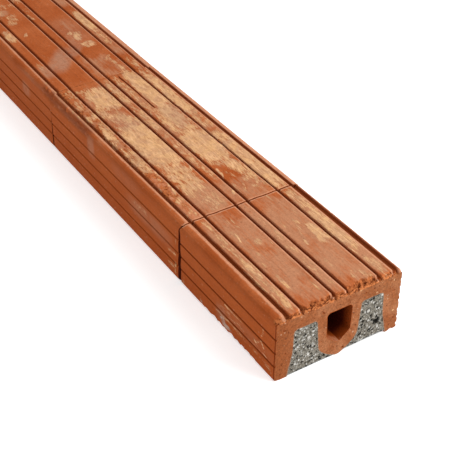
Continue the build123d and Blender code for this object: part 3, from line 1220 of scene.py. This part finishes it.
def fired_clay():
    """Unglazed fired clay: flashed tones, drag lines, grain, pores, torn clay, film and mortar dust, with
    painted shade and painted highlights.
    """
    material, tree, shader, place = new_material("fired_clay_worn")
    shader.inputs["Specular IOR Level"].default_value = 0.06
    sawn = painted(tree, "sawn")
    torn = painted(tree, "torn")
    spot = put(tree, "ShaderNodeSeparateXYZ", {"Vector": place}).outputs
    crown = rise(tree, spot["Z"], 57.0, 58.8)
    blotch = cloud(tree, place, 1 / 9, 5.0)

    cut = sawn_clay(tree, blotch, spot["Y"], spot["Z"])
    colour = mixed(tree, sawn, fired_skin(tree, place, spot["Z"]), cut)
    broken = use(tree, GRAIN, Place=place, Size=2.6, Contrast=1.0, Height=0.7)
    crumbs = rise(tree, broken["Shade"], 0.86, 1.06)
    raw = mixed(tree, crumbs, tint(0.10, 0.017, 0.004), tint(0.53, 0.17, 0.055))
    colour = coated(tree, colour, torn, 0.92, raw)
    colour, dust = clay_coats(tree, place, blotch, colour)

    skin = maths(tree, "SUBTRACT", 1.0, maths(tree, "MAXIMUM", sawn, torn))
    drawn = cloud(tree, scaled(tree, place, (0.02, 1.0, 1.0)), 0.9, 4.0)
    lines = times(tree, maths(tree, "SUBTRACT", drawn, 0.5), skin)
    fine_contrast = plus(tree, times(tree, sawn, 1.5), times(tree, crown, 0.25), 0.3)
    coarse_contrast = plus(tree, times(tree, crown, 0.2), 0.3)
    fine = use(tree, GRAIN, Place=place, Size=1.3, Contrast=fine_contrast, Height=0.22)
    coarse = use(tree, GRAIN, Place=place, Size=3.0, Contrast=coarse_contrast, Height=0.25)
    line_shade = plus(tree, 1.0, times(tree, lines, plus(tree, 0.3, times(tree, crown, 0.15))))
    # Painted shade: all but the crown and the sawn end is made a tenth darker
    side_shade = plus(tree, 0.9, times(tree, maths(tree, "MAXIMUM", crown, sawn), 0.1))
    colour = toned(tree, colour, times(tree, fine["Shade"], coarse["Shade"], line_shade, side_shade))

    grit = use(tree, SPECKS, Place=place, Spacing=2.9, Radius=1.3, Share=0.24)["Mask"]
    colour = coated(tree, colour, grit, plus(tree, times(tree, sawn, 0.45), 0.12), tint(0.66, 0.42, 0.27))
    pores = use(tree, SPECKS, Place=place, Spacing=2.3, Radius=1.3, Share=0.2)["Mask"]
    dark = times(tree, pores, plus(tree, times(tree, sawn, 0.5), 0.2))
    colour = mixed(tree, dark, colour, tint(0.14, 0.03, 0.009))
    # Painted shade: grooves, open joints, the hollow, sawn pits, the left rim and the foot are darkened
    # toward dark brown, and the darkest of them toward near black
    crease = painted(tree, "crease")
    colour = mixed(tree, maths(tree, "MULTIPLY", crease, 0.96, True), colour, tint(0.16, 0.024, 0.002))
    colour = mixed(tree, rise(tree, crease, 1.05, 1.65), colour, tint(0.06, 0.006, 0.001))

    height = plus(
        tree, fine["Height"], times(tree, broken["Height"], torn), coarse["Height"],
        times(tree, lines, 0.08), times(tree, dark, -0.5), times(tree, dust, 0.15),
    )
    roughness = plus(tree, 0.78, times(tree, maths(tree, "MAXIMUM", dust, torn), 0.17))
    finish_shader(tree, shader, colour, roughness, height)
    return material


def cast_concrete():
    """Fine concrete: grey paste, sand grains light and dark, and small voids painted near black as shade.
    """
    material, tree, shader, place = new_material("cast_concrete_sawn")
    shader.inputs["Specular IOR Level"].default_value = 0.15
    fine = use(tree, GRAIN, Place=place, Size=0.9, Contrast=1.5, Height=0.2)
    broad = use(tree, GRAIN, Place=place, Size=5.0, Contrast=0.6, Height=0.1)
    sand = put(tree, "ShaderNodeTexVoronoi", {"Vector": place, "Scale": 1.0}).outputs
    tone = put(tree, "ShaderNodeSeparateColor", {"Color": sand["Color"]}).outputs["Red"]
    colour = mixed(tree, rise(tree, tone, 0.05, 0.95), tint(0.075, 0.066, 0.05), tint(0.21, 0.189, 0.153))
    small = use(tree, SPECKS, Place=place, Spacing=1.3, Radius=1.15, Share=0.5)
    colour = coated(tree, colour, small["Mask"], 0.75, tint(0.315, 0.295, 0.25))
    grains = use(tree, SPECKS, Place=place, Spacing=1.95, Radius=1.6, Share=0.62)
    pale = mixed(tree, grains["Tone"], tint(0.24, 0.228, 0.2), tint(0.60, 0.585, 0.545))
    colour = coated(tree, colour, grains["Mask"], 0.9, pale)
    colour = toned(tree, colour, times(tree, fine["Shade"], broad["Shade"]))
    paste = rise(tree, times(tree, painted(tree, "paste"), fine["Shade"]), 0.3, 0.7)
    colour = coated(tree, colour, paste, 0.75, tint(0.25, 0.255, 0.25))
    holes = use(tree, SPECKS, Place=place, Spacing=2.3, Radius=1.5, Share=0.46)
    # Painted shade: voids and holes are darkened to near black
    void_shade = maths(tree, "MAXIMUM", painted(tree, "pit"), times(tree, holes["Mask"], 0.97))
    colour = mixed(tree, void_shade, colour, tint(0.015, 0.0135, 0.011))
    height = plus(tree, fine["Height"], times(tree, grains["Mask"], 0.2), times(tree, holes["Mask"], -0.6))
    finish_shader(tree, shader, colour, plus(tree, 0.8, times(tree, void_shade, 0.15)), height)
    return material


def wire_steel():
    """A sawn wire: dull steel with a little rust."""
    material, tree, shader, place = new_material("wire_steel_sawn")
    rust = use(tree, SPECKS, Place=place, Spacing=1.1, Radius=0.9, Share=0.5)["Mask"]
    fine = use(tree, GRAIN, Place=place, Size=0.4, Contrast=0.6, Height=0.05)
    colour = coated(tree, tint(0.46, 0.44, 0.40), rust, 0.6, tint(0.26, 0.14, 0.08))
    colour = toned(tree, colour, fine["Shade"])
    tree.links.new(plus(tree, 0.7, times(tree, rust, -0.6)), shader.inputs["Metallic"])
    finish_shader(tree, shader, colour, plus(tree, 0.45, times(tree, rust, 0.4)), fine["Height"])
    return material


# Pieces

def section_spacing(fine):
    """The step between points round a shell: fine where it is seen, wide against the concrete."""
    def spacing(y, z):
        if in_channel(y, z):
            return 5.0 if z > 0.5 else 1.5
        return fine
    return spacing


def section_rings(node, aside):
    """The rings of a node's front end, shifted so that the middle of the shells lies at 0."""
    return [[(y - aside, z) for y, z in ring] for ring in flat_end(node, True)]


def make_shells(clay):
    """The worn clay shells, which stand for the plain ones."""
    finest = {0: (0.75, 1.7), 1: (1.05, 1.8), 2: (1.2, 2.0)}
    for number, node in enumerate(SHELLS):
        step, length_step = finest.get(number, (1.5, 2.4))
        rings = section_rings(node, middle(flat_end(node, True)[0]))
        spacings = [section_spacing(step)] + [section_spacing(3.0)] * (len(rings) - 1)
        extra = SCORE_POINTS if number == 1 else []
        rings = [respaced(ring, spacing, extra) for ring, spacing in zip(rings, spacings)]
        lowest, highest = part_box(node)
        rear, front = lowest.x * 1000, highest.x * 1000
        sawn_front = number == 0
        sawn_rear = number == len(SHELLS) - 1
        places = stations(rear, front, length_step, 0.6, 0.45 if sawn_front else 0.6)
        end_spacing = (1.5 if sawn_rear else 3.0, 0.8 if sawn_front else 3.0)
        piece = long_piece(
            node + "_worn", rings, places, clay_shape(number, rear, front), end_spacing,
            random.Random(number),
            ["sawn", "torn", "dust", "film", "haze", "lime", "highlight_and_rub", "crease", "seam"],
        )
        piece.data.materials.append(clay)
        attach(piece, "root")
        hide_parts(node)


def make_cores(concrete):
    """The cast concrete, with its sawn ends and its rough underside."""
    joints = [x for x, _ in LAY_LINE[1:-1]]
    places = stations(-FRONT, FRONT, 4.0, 1.0, 0.8)
    places = sorted([x for x in places if all(abs(x - joint) > 0.4 for joint in joints)] + joints)
    for node in CORES:
        rings = section_rings(node, lay(FRONT))
        rings = [respaced(ring, lambda y, z: 1.2 if z < 2.6 else 4.0) for ring in rings]
        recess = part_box(node)[0].z * 1000
        piece = long_piece(
            node + "_cast", rings, places, concrete_shape(recess), (1.2, 0.62), random.Random(len(node)),
            ["pit", "paste"],
        )
        piece.data.materials.append(concrete)
        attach(piece, "root")
        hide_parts(node)


def dress_wires(steel):
    """The wires keep their CAD shape and get their finish."""
    for node in WIRES:
        for material_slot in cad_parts[node].material_slots:
            material_slot.material = steel


# Studio

def make_floor():
    """A plain pale floor."""
    mesh = bpy.data.meshes.new("floor")
    half = 6.0
    level = -0.0002
    corners = [(-half, -half, level), (half, -half, level), (half, half, level), (-half, half, level)]
    mesh.from_pydata(corners, [], [(0, 1, 2, 3)])
    floor = bpy.data.objects.new("floor", mesh)
    bpy.context.scene.collection.objects.link(floor)
    material = bpy.data.materials.new("floor_pale")
    material.use_nodes = True
    shader = material.node_tree.nodes["Principled BSDF"]
    shader.inputs["Base Color"].default_value = tint(0.88, 0.88, 0.88)
    shader.inputs["Roughness"].default_value = 0.9
    shader.inputs["Specular IOR Level"].default_value = 0.1
    shader.inputs["Emission Color"].default_value = tint(1.0, 1.0, 1.0)
    shader.inputs["Emission Strength"].default_value = 0.5
    mesh.materials.append(material)


def area_light(name, place, aim, size, power):
    """A soft square light at a place, aimed at a point, both in metres."""
    data = bpy.data.lights.new(name, "AREA")
    data.shape = "SQUARE"
    data.size = size
    data.energy = power
    light = bpy.data.objects.new(name, data)
    light.location = place
    light.rotation_euler = (Vector(aim) - Vector(place)).to_track_quat("-Z", "Y").to_euler()
    bpy.context.scene.collection.objects.link(light)


def make_light():
    """An even white surround and one large soft light above, to the right."""
    world = bpy.data.worlds.new("studio")
    bpy.context.scene.world = world
    world.use_nodes = True
    background = world.node_tree.nodes["Background"]
    background.inputs["Color"].default_value = tint(1.0, 1.0, 1.0)
    background.inputs["Strength"].default_value = 0.66
    area_light("key", (1.45, 1.05, 1.45), (0.3, 0.0, 0.0), 1.3, 32.0)


def make_camera():
    """The camera, where the photographer stood."""
    data = bpy.data.cameras.new("camera")
    data.sensor_width = 36.0
    data.lens = CAMERA_LENS
    data.clip_start = 0.01
    data.clip_end = 50.0
    camera = bpy.data.objects.new("camera", data)
    camera.location = CAMERA_PLACE
    camera.rotation_euler = [math.radians(angle) for angle in CAMERA_TURN]
    bpy.context.scene.collection.objects.link(camera)
    bpy.context.scene.camera = camera


make_camera()
make_light()
make_floor()
make_shells(fired_clay())
make_cores(cast_concrete())
dress_wires(wire_steel())
bpy.context.scene.view_settings.view_transform = "Standard"
